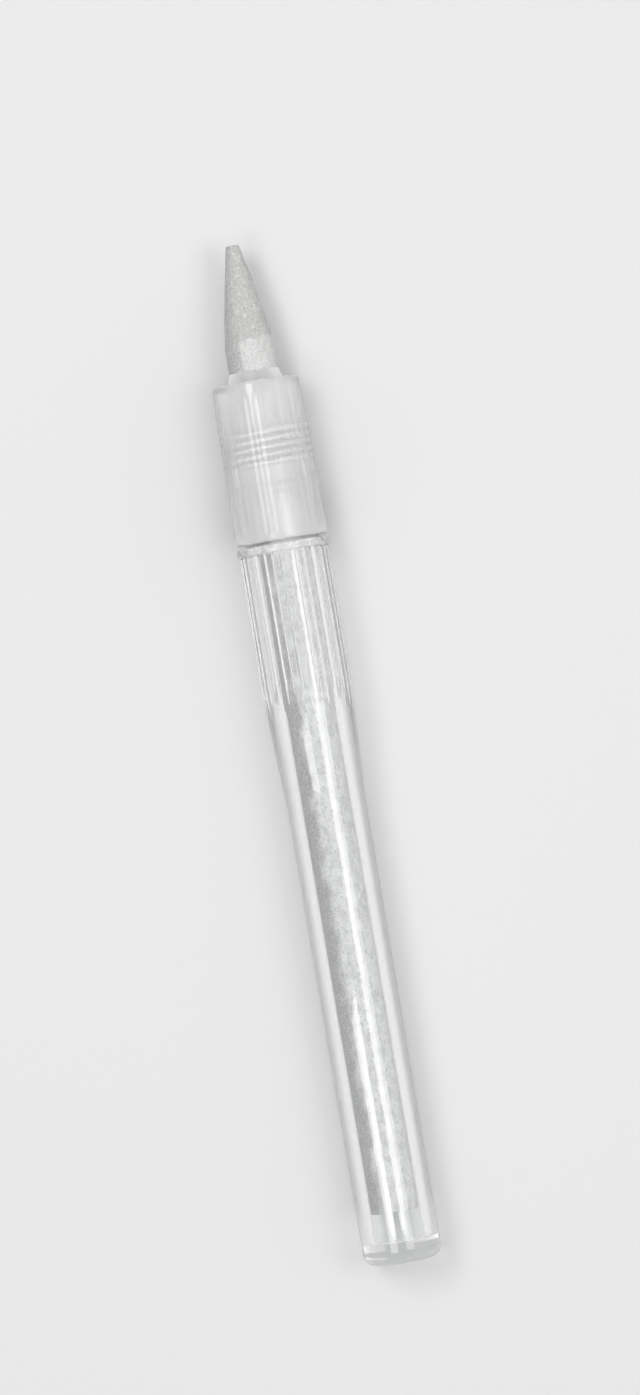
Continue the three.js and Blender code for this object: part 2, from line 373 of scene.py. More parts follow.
class Recipe:
    """A node tree that is filled in from Python, for a material or for the world."""

    def __init__(self, tree: bpy.types.NodeTree) -> None:
        """Empties the tree."""
        tree.nodes.clear()
        self.tree = tree

    @classmethod
    def for_material(cls, name: str) -> "tuple[Recipe, bpy.types.Material]":
        """A new material of this name and its recipe."""
        material = bpy.data.materials.new(name)
        material.use_nodes = True
        return cls(material.node_tree), material

    def add(
        self,
        kind: str,
        sockets: dict[str | int, object] | None = None,
        output: str | int = 0,
        **settings: object,
    ) -> Signal:
        """Adds a shader node.

        Args:
            kind: The node's type, without the words that all of them start with.
            sockets: Values or signals for its inputs, by name or number.
            output: The output to return.
            **settings: Its settings, which are set first.

        Returns:
            The wanted output, or the first input of a node that has no outputs.
        """
        node = self.tree.nodes.new("ShaderNode" + kind)
        for key, value in settings.items():
            setattr(node, key, value)
        for key, value in (sockets or {}).items():
            if isinstance(value, Signal):
                self.tree.links.new(value.socket, node.inputs[key])
            else:
                node.inputs[key].default_value = value
        return Signal(self, node.outputs[output] if node.outputs else node.inputs[0])

    def noise(self, spot: Signal, speckle: Speckle) -> Signal:
        """Noise on Object coordinates."""
        if speckle.squeeze != 1.0:
            spot = self.add("Mapping", {"Vector": spot, "Scale": (speckle.squeeze, 1.0, 1.0)})
        sockets = {"Vector": spot, "Scale": 1 / (speckle.size * MM)}
        sockets |= {"Detail": speckle.detail, "Roughness": speckle.rough}
        return self.add("TexNoise", sockets)

    def from_axis(self, spot: Signal) -> Signal:
        """Distance from the pencil's axis, in metres."""
        sockets = {"Vector": spot, "Location": (0, 0, -AXIS_HEIGHT * MM), "Scale": (0, 1, 1)}
        return self.length(self.add("Mapping", sockets))

    def length(self, spot: Signal) -> Signal:
        """The length of a vector."""
        return self.add("VectorMath", {0: spot}, "Value", operation="LENGTH")

    def band(self, along: Signal, start: float, end: float) -> Signal:
        """1 between two places along the pencil, given from the tail face, and 0 away from them."""
        low, high = (start - LENGTH / 2) * MM, (end - LENGTH / 2) * MM
        edge = BAND_EDGE * MM
        return along.eased(low - edge, low + edge) * (1 - along.eased(high - edge, high + edge))

    def attribute(self, face: "Face") -> Signal:
        """A mesh attribute as a value."""
        return self.add("Attribute", output="Fac", attribute_name=face.value)

    def blend(self, share: Signal, first: Signal | Shade, second: Signal | Shade) -> Signal:
        """A colour between two others."""
        first, second = (c if isinstance(c, Signal) else (*c, 1.0) for c in (first, second))
        return self.add("Mix", {0: share, 6: first, 7: second}, 2, data_type="RGBA")

    def bump(self, strength: float, depth: float, height: Signal, *normal: Signal) -> Signal:
        """A normal tilted by a height whose full range is this deep, in millimetres."""
        sockets = {"Strength": strength, "Distance": depth * MM, "Height": height}
        sockets |= {"Normal": under for under in normal}
        return self.add("Bump", sockets)

    def plain(self, kind: str, colour: Shade) -> Signal:
        """A shader that takes nothing but a colour."""
        return self.add(kind, {"Color": (*colour, 1.0)})

    def either(self, share: Signal | float, first: Signal, second: Signal) -> Signal:
        """A shader between two others."""
        return self.add("MixShader", {0: share, 1: first, 2: second})

    def finish(self, surface: Signal, kind: str = "OutputMaterial") -> None:
        """Joins the surface to the tree's output."""
        self.add(kind, {"Surface": surface})

    def rim(self, low: float, high: float) -> Signal:
        """0 where the surface faces the light or the eye, and 1 where it turns away."""
        return self.add("LayerWeight", output="Facing").eased(low, high)

    def let_light_through(self, surface: Signal, tint: Shade, thrown: Signal) -> Signal:
        """The surface, which lamps' light and scattered light meet as a clear pane.

        Args:
            surface: What the eye sees.
            tint: The pane's tint.
            thrown: Share of the lamps' light that is thrown aside.
        """
        shadow = self.add("LightPath", output="Is Shadow Ray")
        pane = self.plain("BsdfTransparent", tint)
        scattered = self.either(shadow.output("Is Diffuse Ray"), surface, pane)
        passed = self.either(thrown, pane, surface)
        return self.either(shadow, scattered, passed)


class Face(Enum):
    """What a piece's surface is like at a place, painted shade and highlight too, as a mesh attribute.
    """

    SCRAPED = "scraped"
    SHADED_FLANK = "flank"
    CREST_HIGHLIGHT = "crest"


@dataclass(frozen=True)
class ClearPlastic:
    """Water-clear moulded plastic with a faint ripple and fine scuffs.

    At their places along the pencil the flange and the end of the bore are etched, the flange
    carries white patches of painted highlight, and painted shade greys the joint behind the nut.
    Its rim carries painted shade that only the camera sees. Where light has bounced many times
    in the wall, a painted even grey glow stands in for it.
    """

    refraction: float = 1.5
    tint: Shade = (0.985, 0.99, 0.99)
    pane: Shade = (0.925, 0.93, 0.93)
    # Painted shade along the rim, which only the camera sees.
    rim: Shade = (0.15, 0.15, 0.15)
    painted_rim_facing: Span = (0.7, 0.9)
    # Painted shade in the joint behind the nut.
    painted_joint_shade: Shade = (0.6, 0.6, 0.595)
    # Painted highlight: white patches on the flange, broken up by its grit.
    painted_flange_highlight: Shade = (1.0, 1.0, 1.0)
    flange_highlight_share: float = 0.5
    least_flange_highlight: float = 0.35
    flange_highlight_grit: Span = (0.45, 0.6)
    # A painted glow where light has bounced many times in the wall.
    painted_trapped_glow: Shade = (0.5, 0.51, 0.51)
    trapped_bounces: Span = (2.8, 3.8)
    thrown: float = 0.5
    thrown_facing: Span = (0.2, 0.55)
    flange: Span = (93.4, 94.6)
    bore_end: Span = (0.9, 3.5)
    bore_radius: Span = (3.5, 3.7)
    joint: Span = (94.5, 95.15)
    joint_radius: Span = (4.7, 4.8)
    solid_end: Span = (-1.0, 2.6)
    ripple: Speckle = Speckle(2.6, 0.25, 1.0)
    ripple_bump: BumpSize = (0.12, 0.06)
    grit: Speckle = Speckle(0.8)
    grit_bump: BumpSize = (0.5, 0.15)
    scuffs: Speckle = Speckle(0.25, 0.3, 4.0)
    scuffed: Cover = Cover(0.05, 0.55, 0.8)
    polish: float = 0.015
    etched: float = 0.12
    joint_roughness: float = 0.3

    def material(self) -> bpy.types.Material:
        """The finish as a material."""
        recipe, material = Recipe.for_material("clear_plastic")
        spot = recipe.add("TexCoord", output="Object")
        along = recipe.add("SeparateXYZ", {0: spot}, "X")
        seen = recipe.add("LightPath", output="Is Camera Ray")
        from_axis = recipe.from_axis(spot)
        flange = recipe.band(along, *self.flange)
        bore = 1 - from_axis.eased(*(r * MM for r in self.bore_radius))
        etched = flange + recipe.band(along, *self.bore_end) * bore
        # Painted shade greys the joint behind the nut; the joint is also rougher.
        outer = from_axis.eased(*(r * MM for r in self.joint_radius))
        joint_shade = recipe.band(along, *self.joint) * outer
        # Painted shade along the rim, seen only by the camera.
        edge = recipe.rim(*self.painted_rim_facing) * seen
        colour = recipe.blend(joint_shade, recipe.blend(edge, self.tint, self.rim), self.painted_joint_shade)
        scuffs = recipe.noise(spot, self.scuffs)
        roughness = self.polish + self.scuffed.where(scuffs)
        roughness = roughness + self.etched * etched + self.joint_roughness * joint_shade
        grit = recipe.noise(spot, self.grit)
        normal = recipe.bump(*self.ripple_bump, recipe.noise(spot, self.ripple))
        normal = recipe.bump(*self.grit_bump, grit * etched, normal)
        plastic = recipe.add(
            "BsdfPrincipled",
            {
                "Base Color": colour,
                "Roughness": roughness,
                "IOR": self.refraction,
                "Transmission Weight": 1.0,
                "Normal": normal,
            },
        )
        # White patches of painted highlight on the flange.
        patches = self.least_flange_highlight + (1 - self.least_flange_highlight) * grit.eased(*self.flange_highlight_grit)
        white = recipe.plain("BsdfDiffuse", self.painted_flange_highlight)
        plastic = recipe.either(self.flange_highlight_share * patches * flange, plastic, white)
        # Where light has bounced many times in the wall, a painted grey glow stands in for it.
        deep = seen.output("Glossy Depth").eased(*self.trapped_bounces)
        plastic = recipe.either(deep, plastic, recipe.plain("Emission", self.painted_trapped_glow))
        solid = self.thrown * recipe.band(along, *self.solid_end)
        thrown = self.thrown * recipe.rim(*self.thrown_facing) + solid
        recipe.finish(recipe.let_light_through(plastic, self.pane, thrown))
        return material


@dataclass(frozen=True)
class FrostedPlastic:
    """Natural, milky plastic with a finely etched skin, and a white painted highlight where marked."""

    name: str
    milk: float
    roughness: float
    tint: Shade
    gloss: float = 0.5
    # White of the painted highlight where marked, and how much of it is plain diffuse white.
    crest: Shade = (1.0, 1.0, 1.0)
    crest_highlight_cover: float = 0.0
    refraction: float = 1.5
    pane: Shade = (0.86, 0.86, 0.86)
    thrown: float = 0.3
    thrown_facing: Span = (0.2, 0.55)
    clouds: Speckle = Speckle(2.2, 0.4, 3.0)
    cloudy: Cover = Cover(1.0, 0.35, 0.65)
    cloud_dark: float = 0.95
    cloud_light: float = 1.03
    etch: Speckle = Speckle(0.12, 1.0, 3.0, 0.6)
    etch_bump: BumpSize = (0.25, 0.012)
    etch_roughness: float = 0.08

    def material(self) -> bpy.types.Material:
        """The finish as a material."""
        recipe, material = Recipe.for_material(self.name)
        spot = recipe.add("TexCoord", output="Object")
        etch = recipe.noise(spot, self.etch)
        clouds = recipe.noise(spot, self.clouds)
        dark = tuple(c * self.cloud_dark for c in self.tint)
        light = tuple(min(1.0, c * self.cloud_light) for c in self.tint)
        colour = recipe.blend(self.cloudy.where(clouds), dark, light)
        # Painted highlight: the colour turns white where the mesh marks the thread's crest.
        crest = recipe.attribute(Face.CREST_HIGHLIGHT)
        plastic = recipe.add(
            "BsdfPrincipled",
            {
                "Base Color": recipe.blend(crest, colour, self.crest),
                "Roughness": self.roughness + self.etch_roughness * (etch - 0.5),
                "IOR": self.refraction,
                "Specular IOR Level": self.gloss,
                "Transmission Weight": 1.0 - self.milk,
                "Normal": recipe.bump(*self.etch_bump, etch),
            },
        )
        white = recipe.plain("BsdfDiffuse", self.crest)
        plastic = recipe.either(self.crest_highlight_cover * crest, plastic, white)
        thrown = self.thrown * recipe.rim(*self.thrown_facing)
        recipe.finish(recipe.let_light_through(plastic, self.pane, thrown))
        return material


@dataclass(frozen=True)
class Soapstone:
    """Pale grey soapstone: rubbed on its round side, scraped rough on its point.

    One flank of the round side is darker with painted shade.
    """

    dark: Shade = (0.69, 0.69, 0.685)
    light: Shade = (0.86, 0.86, 0.855)
    chalk: Shade = (0.9, 0.9, 0.895)
    vein: Shade = (0.34, 0.34, 0.34)
    # Painted shade along one flank of the round side.
    flank_dark: Shade = (0.33, 0.33, 0.33)
    flank_light: Shade = (0.56, 0.56, 0.555)
    scraped_dark: Shade = (0.54, 0.54, 0.535)
    scraped_light: Shade = (0.64, 0.64, 0.63)
    clouds: Speckle = Speckle(0.9, 0.6, 4.0, 0.6)
    grains: Speckle = Speckle(0.22, 1.0, 3.0, 0.7)
    lumps: Speckle = Speckle(0.5)
    specks: Speckle = Speckle(0.16, 1.0, 2.0, 0.6)
    streaks: Speckle = Speckle(0.35, 0.06, 3.0, 0.6)
    pits: Speckle = Speckle(0.3, 1.0, 1.0)
    cloudy: Cover = Cover(1.0, 0.36, 0.6)
    grainy: Cover = Cover(0.6, 0.5, 0.62)
    streaky: Cover = Cover(0.3, 0.56, 0.76)
    pitted: Cover = Cover(0.28, 0.5, 0.68)
    specked: Cover = Cover(0.4, 0.62, 0.72)
    scraped_grains: Cover = Cover(1.0, 0.35, 0.62)
    chalked_lumps: Cover = Cover(0.6, 0.52, 0.66)
    chalked_grains: Cover = Cover(1.0, 0.42, 0.6)
    flank_grains: Cover = Cover(1.0, 0.4, 0.62)
    flank_share: float = 0.8
    flank_rubbed: float = 0.45
    grain_height: float = 0.5
    speck_height: float = 0.3
    streak_height: float = 0.4
    lump_height: float = 1.1
    scraped_lumps: float = 0.7
    bump: BumpSize = (0.6, 0.08)
    roughness: float = 0.55
    scraped_roughness: float = 0.3
    grain_roughness: float = 0.15
    gloss: float = 0.35

    def material(self) -> bpy.types.Material:
        """The finish as a material."""
        recipe, material = Recipe.for_material("soapstone")
        spot = recipe.add("TexCoord", output="Object")
        scraped, flank = recipe.attribute(Face.SCRAPED), recipe.attribute(Face.SHADED_FLANK)
        kinds = (self.clouds, self.grains, self.lumps, self.specks, self.streaks, self.pits)
        clouds, grains, lumps, specks, streaks, pits = (recipe.noise(spot, kind) for kind in kinds)
        rubbed = recipe.blend(self.cloudy.where(clouds), self.dark, self.light)
        rubbed = recipe.blend(self.grainy.where(grains), rubbed, self.chalk)
        rubbed = recipe.blend(self.streaky.where(streaks), rubbed, self.chalk)
        point = recipe.blend(self.scraped_grains.where(grains), self.scraped_dark, self.scraped_light)
        chalked = self.chalked_lumps.where(lumps) * self.chalked_grains.where(grains)
        point = recipe.blend(chalked, point, self.chalk)
        colour = recipe.blend(scraped, rubbed, point)
        # Painted shade darkens one flank, and less of it reaches the scraped point.
        painted_flank_shade = recipe.blend(self.flank_grains.where(grains), self.flank_dark, self.flank_light)
        colour = recipe.blend((self.flank_share - self.flank_rubbed * scraped) * flank, colour, painted_flank_shade)
        colour = recipe.blend(self.pitted.where(pits), colour, self.vein)
        colour = recipe.blend(self.specked.where(specks), colour, self.vein)
        height = grains * self.grain_height + specks * self.speck_height
        height = height + streaks * self.streak_height
        height = height + lumps * (self.lump_height + self.scraped_lumps * scraped)
        roughness = self.roughness + self.scraped_roughness * scraped + self.grain_roughness * grains
        stone = recipe.add(
            "BsdfPrincipled",
            {
                "Base Color": colour,
                "Roughness": roughness,
                "Specular IOR Level": self.gloss,
                "Normal": recipe.bump(*self.bump, height),
            },
        )
        recipe.finish(stone)
        return material


def mark(piece: Piece, face: Face, values: np.ndarray) -> None:
    """Keeps a value for every point of a piece."""
    piece.data.attributes.new(face.value, "FLOAT", "POINT").data.foreach_set("value", values)


def mount(
    piece: Piece, material: bpy.types.Material, body: str, slot: str, *nodes: str
) -> None:
    """Gives a piece its finish, its body and the nodes that it stands for.

    Args:
        piece: The new piece.
        material: Its finish.
        body: The body that carries it.
        slot: The record's material slot; not used.
        nodes: The nodes that it replaces.
    """
    piece.data.materials.append(material)
    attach(piece, body)
    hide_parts(*nodes)
    log.info("%s: %d faces, rides on %s", piece.name, len(piece.data.polygons), body)


@dataclass
class Barrel:
    """The clear barrel: closed tail, tube, taper, ribbed grip, flange and the spigot in the nut."""

    tail_radius: float = 2.925
    tail_corner: float = 2.4
    tube_radius: float = 5.125
    tube_end: float = 61.2
    shoulder_radius: float = 5.85
    shoulder: float = 74.35
    grip_radius: float = 5.8
    flange_start: float = 93.5
    flange_end: float = 94.5
    flange_radius: float = 6.1
    spigot_radius: float = 4.9
    spigot_end: float = 101.2
    socket_radius: float = 4.13
    socket_floor: float = 95.2
    bore_radius: float = 3.425
    bore_floor: float = 2.8
    grooves: Grooves = Grooves(72.0, 93.6, 0.18, 0.46, 5.2, 0.05, stagger=0.5)
    rib_offsets: tuple[float, ...] = (
        *(-2.5, -1.9, -1.25, -0.6, 0.0, 0.6, 1.25, 1.9, 2.5),
        *(3.7, 5.0, 6.3),
    )

    def outline(self) -> np.ndarray:
        """The barrel's outline from the middle of its tail face to the middle of its bore's floor."""
        return rounded_outline(
            [
                Corner(0.0, 0.0),
                Corner(0.02, 1.2),
                Corner(0.0, self.tube_radius, self.tail_corner, steps=18),
                Corner(self.tube_end, self.tube_radius, 60.0, rows=24, steps=10),
                Corner(self.shoulder, self.shoulder_radius, 80.0, rows=14, steps=12),
                Corner(80.0, self.grip_radius + 0.04, rows=20),
                Corner(self.flange_start, self.grip_radius, 0.08, rows=8, steps=3),
                Corner(self.flange_start, self.flange_radius, 0.22),
                Corner(self.flange_end, self.flange_radius, 0.2),
                Corner(self.flange_end, self.spigot_radius, 0.12, steps=3),
                Corner(self.spigot_end, self.spigot_radius, 0.15, rows=3),
                Corner(self.spigot_end, self.socket_radius, 0.15),
                Corner(self.socket_floor, self.socket_radius, 0.1, rows=3, steps=3),
                Corner(self.socket_floor, self.bore_radius, 0.1, steps=3),
                Corner(self.bore_floor, self.bore_radius, 0.24, rows=24, steps=8),
                Corner(self.bore_floor - 0.12, 1.0, 0.5),
                Corner(self.bore_floor - 0.15, 0.0),
            ],
            closed=False,
        )

    def build(self) -> Piece:
        """Carries the outline round the axis and sinks the grip's grooves into its outside."""
        outline = self.outline()
        along, radius = outline[:, :1], outline[:, 1:]
        angle = rib_columns(self.rib_offsets)
        depth = self.grooves.depth_at(along, angle[None], self.grip_radius)
        outside = np.arange(len(outline))[:, None] < np.argmax(along >= self.flange_start)
        radius = radius - np.where(outside, depth, 0.0)
        return turned("barrel_clear", along + 0 * radius, radius, angle, closed=False)

    def dress(self, piece: Piece) -> None:
        """Gives the barrel its clear plastic."""
        mount(piece, ClearPlastic().material(), "barrel", "clear_plastic", "barrel")


@dataclass
class Collet:
    """The collet: a tail in the barrel's socket, a collar, a threaded stem and four jaws."""

    bore_radius: float = 3.3
    tail_start: float = 95.25
    tail_radius: float = 4.1
    collar_start: float = 101.25
    collar_end: float = 102.05
    collar_radius: float = 4.8
    stem_radius: float = 3.9
    stem_end: float = 109.8
    jaw_start: float = 109.86
    jaw_end: float = 117.2
    finger_radius: float = 3.65
    head_radius: float = 3.79
    head_start: float = 113.6
    land_radius: float = 3.22
    land_start: float = 114.2
    front_radius: float = 3.28
    cone_start: float = 115.66
    lip_start: float = 116.75
    lip_radius: float = 3.44
    slit_width: float = 0.25
    first_slit_deg: float = 8.6
    jaws: int = 4
    jaw_columns: int = 25
    stem_columns: int = 180
    crest_start: float = 0.2
    crest_ramp: float = 0.4
    plain_crest: float = 0.5
    thread: Thread = Thread()

    def build_body(self) -> Piece:
        """Carries the rear part's outline round the axis and raises the thread on its stem."""
        outline = rounded_outline(
            [
                Corner(self.tail_start, self.bore_radius, 0.1, steps=3),
                Corner(self.tail_start, self.tail_radius, 0.25),
                Corner(self.collar_start, self.tail_radius, 0.08, rows=3, steps=3),
                Corner(self.collar_start, self.collar_radius, 0.15),
                Corner(self.collar_end, self.collar_radius, 0.15),
                Corner(self.collar_end, self.stem_radius, 0.15, steps=3),
                Corner(THREAD_START - 0.1, self.stem_radius, rows=2),
                Corner(THREAD_END + 0.05, self.stem_radius, rows=100),
                Corner(self.stem_end, self.stem_radius, 0.05, steps=2),
                Corner(self.stem_end, self.bore_radius, 0.05, steps=2),
            ],
            closed=True,
        )
        along, radius = outline[:, :1], outline[:, 1:]
        angle = even_columns(self.stem_columns)
        ridge = self.thread.height_at(along, angle[None], Cut.ON_STEM)
        ridge = np.where(np.abs(radius - self.stem_radius) < NEAR, ridge, 0.0)
        stem = turned("collet_stem", along + 0 * ridge, radius + ridge, angle, closed=True)
        # The thread's crest is marked for a painted highlight; off the thread the mark is half.
        crest = smooth_step((ridge / self.thread.height - self.crest_start) / self.crest_ramp)
        threaded = (along > THREAD_START) & (along < THREAD_END)
        mark(stem, Face.CREST_HIGHLIGHT, np.where(threaded, crest, self.plain_crest).ravel())
        return stem

    def build_jaw(self, number: int) -> Piece:
        """Carries the outline of a jaw, numbered from 1, from one slit to the next.

        Formula: at each radius the jaw's half angle is an eighth of a turn less the angle whose
        sine is half the slit's width over that radius, so both its sides are flat.
        """
        outline = rounded_outline(
            [
                Corner(self.jaw_start, self.bore_radius, 0.04, steps=2),
                Corner(self.jaw_start, self.finger_radius, 0.04, steps=2),
                Corner(self.head_start - 0.2, self.finger_radius, 0.2, rows=3),
                Corner(self.head_start, self.head_radius, 0.2),
                Corner(self.cone_start, self.head_radius, 0.2, rows=3),
                Corner(self.lip_start, self.lip_radius, 0.5, rows=3),
                Corner(self.jaw_end, self.front_radius, 0.05),
                Corner(self.jaw_end, self.land_radius, 0.03, steps=2),
                Corner(self.land_start, self.land_radius, 0.08, rows=3),
                Corner(self.land_start - 0.08, self.bore_radius, 0.08),
            ],
            closed=True,
        )
        along, radius = outline[:, :1], outline[:, 1:]
        half = math.pi / self.jaws - np.arcsin(self.slit_width / 2 / radius)
        middle = math.radians(self.first_slit_deg) + (number - 0.5) * 2 * math.pi / self.jaws
        angle = middle + half * np.linspace(-1, 1, self.jaw_columns)[None]
        rows, columns = angle.shape
        points = place(along, radius + 0 * angle, angle)
        index = np.arange(rows * columns).reshape(rows, columns)
        next_row = np.roll(index, -1, 0)
        quads = np.stack(
            [next_row[:, :-1], next_row[:, 1:], index[:, 1:], index[:, :-1]], axis=-1
        ).reshape(-1, 4)
        caps = [index[:, 0].tolist(), index[::-1, -1].tolist()]
        return make_object(f"jaw_{number}_frosted", points, quads.tolist() + caps)

    def dress(self, stem: Piece, jaws: Sequence[Piece]) -> None:
        """Gives the stem and the jaws their milky plastic.

        The stem's dark grey stands in as painted shade beside the white painted highlight along its
        thread's crest.
        """
        # The stem's dark grey is painted shade that sets off the painted highlight on its crest.
        dense = FrostedPlastic("stem_plastic", milk=0.96, roughness=0.5, tint=(0.36, 0.365, 0.36))
        mount(stem, dense.material(), "barrel", "frosted_plastic", "collet_body")
        thin = FrostedPlastic(
            "jaw_plastic", milk=0.4, roughness=0.35, tint=(0.72, 0.725, 0.72), gloss=0.2
        )
        finish = thin.material()
        for number, jaw in enumerate(jaws, 1):
            mount(jaw, finish, f"jaw_{number}", "frosted_plastic", f"jaw_{number}")


@dataclass
class ClampNut:
    """The frosted clamp nut: fine ribs outside, a thread, a chamber and a clamping mouth inside."""

    rear: float = 94.95
    front: float = 115.8
    rear_radius: float = 6.07
    front_radius: float = 5.75
    bore_radius: float = 5.0
    step: float = 102.4
    thread_radius: float = 4.55
    chamber_start: float = 110.05
    chamber_radius: float = 4.3
    cone_start: float = 114.36
    mouth_radius: float = 3.858
    middle_radius: float = 5.9
    grooves: Grooves = Grooves(95.7, 114.4, 0.05, 0.9, 0.5, 1.2, stagger=0.15)
    rib_offsets: tuple[float, ...] = (-4.4, -3.3, -2.2, -1.1, 0.0, 1.1, 2.2, 3.3, 4.4)
    root_start: float = 0.6
    root_ramp: float = 0.3
    root_inset: float = 0.2
    thread: Thread = Thread()

    def radius_at(self, along: float) -> float:
        """Outer radius of the nut, which narrows evenly towards its front."""
        share = (along - self.rear) / (self.front - self.rear)
        return self.rear_radius + share * (self.front_radius - self.rear_radius)

    def build(self) -> Piece:
        """Carries the outline round the axis, sinks the grooves and raises the inner thread."""
        outline = rounded_outline(
            [
                Corner(self.rear, self.bore_radius, 0.12, steps=3),
                Corner(self.rear, self.rear_radius, 0.28),
                Corner(96.6, self.radius_at(96.6), rows=8),
                Corner(112.6, self.radius_at(112.6), rows=12),
                Corner(114.8, self.radius_at(114.8), rows=12),
                Corner(self.front, self.front_radius, 0.45, rows=1),
                Corner(self.front, self.mouth_radius, 0.08, steps=3),
                Corner(self.cone_start, self.chamber_radius, 0.1, rows=2, steps=3),
                Corner(self.chamber_start, self.chamber_radius, 0.1, rows=6, steps=3),
                Corner(self.chamber_start, self.thread_radius, 0.08, steps=3),
                Corner(THREAD_START - 0.1, self.thread_radius, rows=104),
                Corner(self.step, self.thread_radius, 0.12, rows=2),
                Corner(self.step, self.bore_radius, 0.15),
            ],
            closed=True,
        )
        along, radius = outline[:, :1], outline[:, 1:]
        angle = rib_columns(self.rib_offsets)
        groove = self.grooves.depth_at(along, angle[None], self.middle_radius)
        ridge = self.thread.height_at(along, angle[None], Cut.IN_NUT)
        inside = np.abs(radius - self.thread_radius) < NEAR
        outside = radius > self.front_radius - NEAR
        radius = radius - np.where(outside, groove, 0.0) - np.where(inside, ridge, 0.0)
        nut = turned("clamp_nut_frosted", along + 0 * radius, radius, angle, closed=True)
        # The nut's thread root, where the stem's crest lies, is marked for a painted highlight.
        root = smooth_step((self.root_start - ridge / self.thread.height) / self.root_ramp)
        threaded = (along > THREAD_START + self.root_inset) & (along < THREAD_END - self.root_inset)
        mark(nut, Face.CREST_HIGHLIGHT, np.where(inside & threaded, root, 0.0).ravel())
        return nut

    def dress(self, piece: Piece) -> None:
        """Gives the nut its frosted plastic, painted white as a highlight where it meets the stem's
        crest.

        The piece stands for the nut and for its front band.
        """
        finish = FrostedPlastic(
            "nut_plastic", milk=0.3, roughness=0.12, tint=(0.97, 0.975, 0.97), gloss=0.08, crest_highlight_cover=0.5
        )
        mount(piece, finish.material(), "clamp_nut", "frosted_plastic", "clamp_nut", "nut_lip")


@dataclass
class Stick:
    """The soapstone stick: square behind, round, and scraped to a blunt, slightly skewed point."""

    start: float = 6.7
    tip: float = 133.7
    radius: float = 3.175
    tip_radius: float = 0.86
    point_length: float = 12.6
    skew: float = 0.38
    bow: float = 0.12
    flank_deg: float = -65.0
    handled: float = 0.4
    handled_start: float = 116.5
    handled_ramp: float = 0.8
    seed: int = 11
    columns: int = 192
    rows: int = 114
    rear_rows: tuple[tuple[float, float], ...] = ((0.0, 0.0), (0.0, 0.93), (0.03, 0.975), (0.1, 0.993))
    rear_gap: float = 0.2
    point_start: float = 119.8
    point_rows: int = 128
    tip_gap: float = 0.06
    tip_shares: tuple[float, ...] = (0.9, 0.55, 0.0)
    ragged: tuple[Lattice, ...] = (Lattice(1.0, 26, 0.28), Lattice(1.0, 70, 0.16))
    scraped_edge: float = 0.04
    flank_edge: tuple[Lattice, ...] = (Lattice(3.0, 12, 0.09), Lattice(0.8, 40, 0.09))
    flank_start: float = 0.67
    flank_ramp: float = 0.25
    pits: Lattice = Lattice(0.28, 70, 0.16, start=0.35)
    chips: Lattice = Lattice(0.7, 30, 0.22, start=0.45)
    scrapes: Lattice = Lattice(2.4, 120, 0.02)
    scraped_depth: float = 0.02
    wear: Lattice = Lattice(6.0, 24, 0.012, start=-1.0)

    def build(self) -> Piece:
        """Makes the round stick and its scraped point.

        Formula: the radius is the stick's, or the point's where that is less. The point's
        radius grows evenly from the tip, bowed out a little in its middle, over a length that
        changes with the angle and wanders with noise, so its edge is ragged. Pits, chips and
        scrape marks are noise taken off the point, and a little wear is taken off the round
        side. One flank of the round side is marked for painted shade.
        """
        grain = Grain(self.seed)
        rear, rear_shares = np.array(self.rear_rows).T
        straight = np.linspace(self.start + self.rear_gap, self.point_start, self.rows)
        point = np.linspace(self.point_start, self.tip - self.tip_gap, self.point_rows)[1:]
        tip = np.full(len(self.tip_shares), self.tip)
        along = np.concatenate([self.start + rear, straight, point, tip])[:, None]
        middle = np.ones(straight.size + point.size)
        ends = np.concatenate([rear_shares, middle, self.tip_shares])[:, None]
        angle = even_columns(self.columns)[None]
        ragged = sum(grain.relief(0 * along, angle, lattice) for lattice in self.ragged)
        length = self.point_length - self.skew * np.sin(angle) + ragged
        share = (self.tip - along) / length
        taper = self.tip_radius + (self.radius - self.tip_radius) * share
        taper = taper + self.bow * np.sin(np.pi * np.clip(share, 0, 1))
        scraped = smooth_step((self.radius - taper + self.scraped_edge / 2) / self.scraped_edge)
        # The flank that carries painted shade, with a wandering edge.
        side = np.cos(angle - math.radians(self.flank_deg))
        for lattice in self.flank_edge:
            side = side + grain.relief(along, angle, lattice)
        flank = smooth_step((side - self.flank_start) / self.flank_ramp)
        layers = (self.pits, self.chips, self.scrapes)
        rough = sum(grain.relief(along, angle, lattice) for lattice in layers) + self.scraped_depth
        worn = grain.relief(along, angle, self.wear)
        cut = rough * scraped + worn * (1 - scraped)
        radius = (np.minimum(self.radius, taper) - cut) * ends
        piece = turned("soapstone_round", along + 0 * radius, radius, angle[0], closed=False)
        last = radius.size - self.columns
        keep = np.r_[0, np.arange(self.columns, last), last]
        handled = self.handled * smooth_step((along - self.handled_start) / self.handled_ramp)
        mark(piece, Face.SCRAPED, np.maximum(scraped, handled).ravel()[keep])
        mark(piece, Face.SHADED_FLANK, flank.ravel()[keep])
        return piece

    def dress(self, piece: Piece) -> None:
        """Gives the stick its soapstone."""
        mount(piece, Soapstone().material(), "stick", "soapstone", "soapstone_stick")


@dataclass(frozen=True)
class Lamp:
    """A soft lamp: its direction from straight up in degrees, its sizes in metres and radiance.

    A lamp that isn't shown lights the scene, but can't be seen through clear walls.
    """

    name: str
    bearing: float
    along: float
    length: float
    width: float
    radiance: float
    twist: float = 0.0
    shown: bool = True


